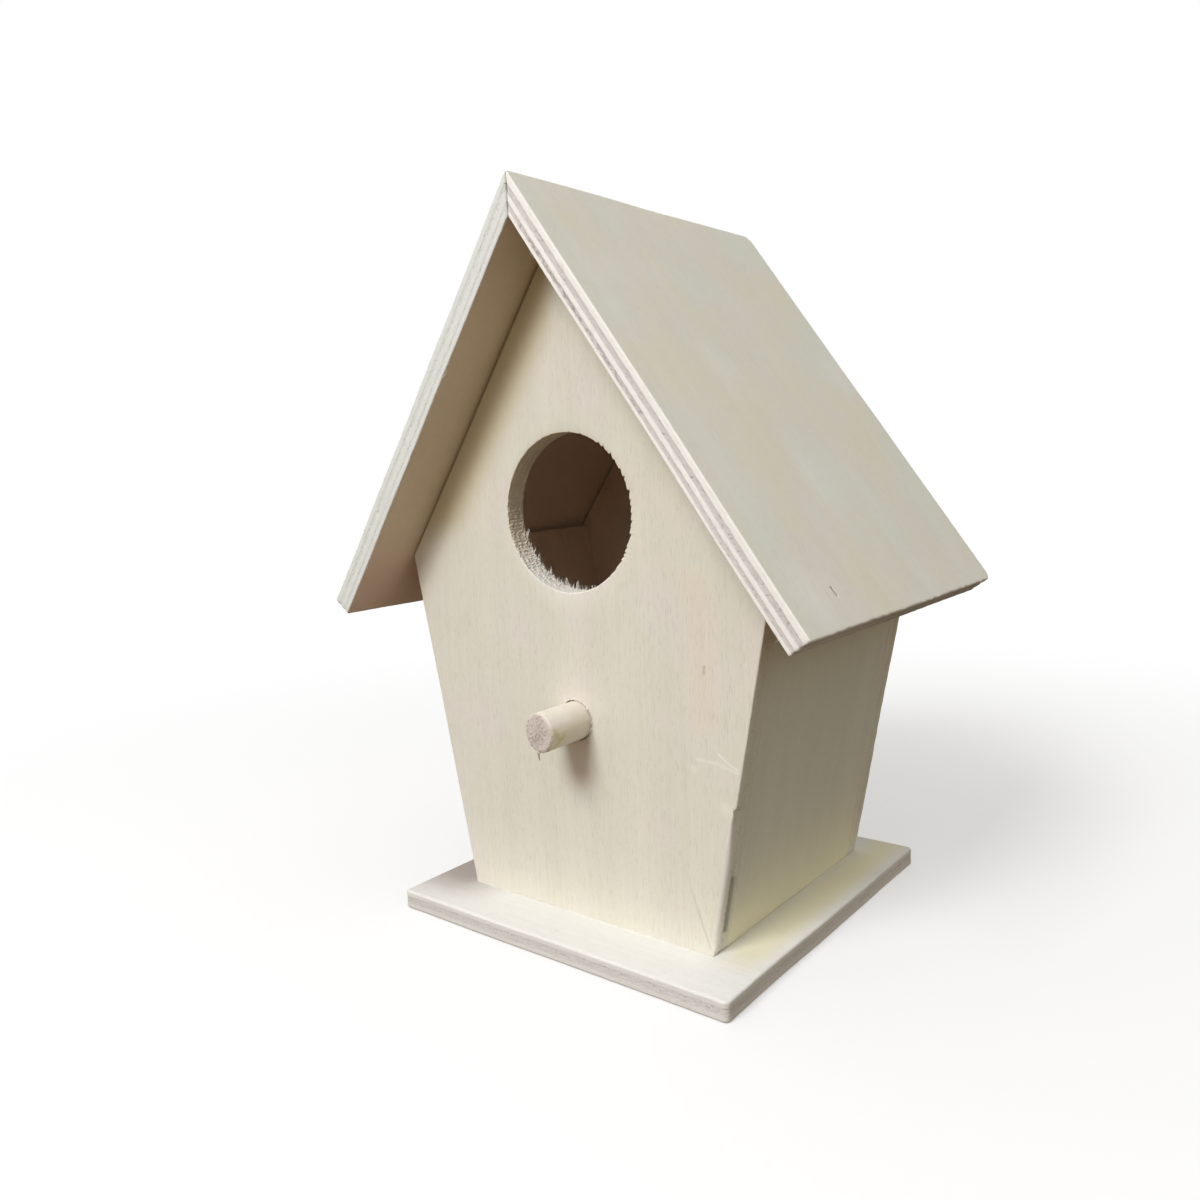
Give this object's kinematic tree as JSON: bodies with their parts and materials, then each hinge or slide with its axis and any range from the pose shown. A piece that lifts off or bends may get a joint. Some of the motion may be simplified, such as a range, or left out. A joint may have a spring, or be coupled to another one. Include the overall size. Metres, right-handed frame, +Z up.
{
  "type": "birdhouse",
  "caption": "Small plywood birdhouse with a steep mitred gable roof, outward-leaning walls, a round entrance, a dowel perch and a square base plate.",
  "frame": {"origin": "centre of the overall box, front to back and side to side, on the underside of the base plate", "axes": "+Z up to the ridge; -Y out of the entrance; +X to the right as one faces the entrance; the ridge runs along Y"},
  "size_m": [0.0944, 0.0684, 0.12],
  "materials": {
    "panel_plywood": "unfinished pale plywood, fine vertical grain, sanded matt",
    "wall_plywood": "unfinished pale plywood, sanded matt",
    "roof_plywood": "unfinished pale plywood, grain down the slope, bare ply edges",
    "base_plywood": "unfinished pale plywood, sanded matt, soft edges",
    "perch_dowel": "unfinished birch dowel with a sawn end",
    "brad_steel": "bare steel wire"
  },
  "bodies": {
    "root": {"base_plate": "base_plywood", "front_panel": "panel_plywood", "back_panel": "panel_plywood", "left_wall": "wall_plywood", "right_wall": "wall_plywood", "left_roof": "roof_plywood", "right_roof": "roof_plywood", "perch_dowel": "perch_dowel", "brad_left_roof_front_upper": "brad_steel", "brad_left_roof_front_lower": "brad_steel", "brad_left_roof_back_upper": "brad_steel", "brad_left_roof_back_lower": "brad_steel", "brad_right_roof_front_upper": "brad_steel", "brad_right_roof_front_lower": "brad_steel", "brad_right_roof_back_upper": "brad_steel", "brad_right_roof_back_lower": "brad_steel", "brad_front_left_wall_upper": "brad_steel", "brad_front_left_wall_lower": "brad_steel", "brad_back_left_wall_upper": "brad_steel", "brad_back_left_wall_lower": "brad_steel", "brad_front_right_wall_upper": "brad_steel", "brad_front_right_wall_lower": "brad_steel", "brad_back_right_wall_upper": "brad_steel", "brad_back_right_wall_lower": "brad_steel", "brad_base_front_left": "brad_steel", "brad_base_front_right": "brad_steel", "brad_base_back_left": "brad_steel", "brad_base_back_right": "brad_steel"}
  },
  "joints": []
}
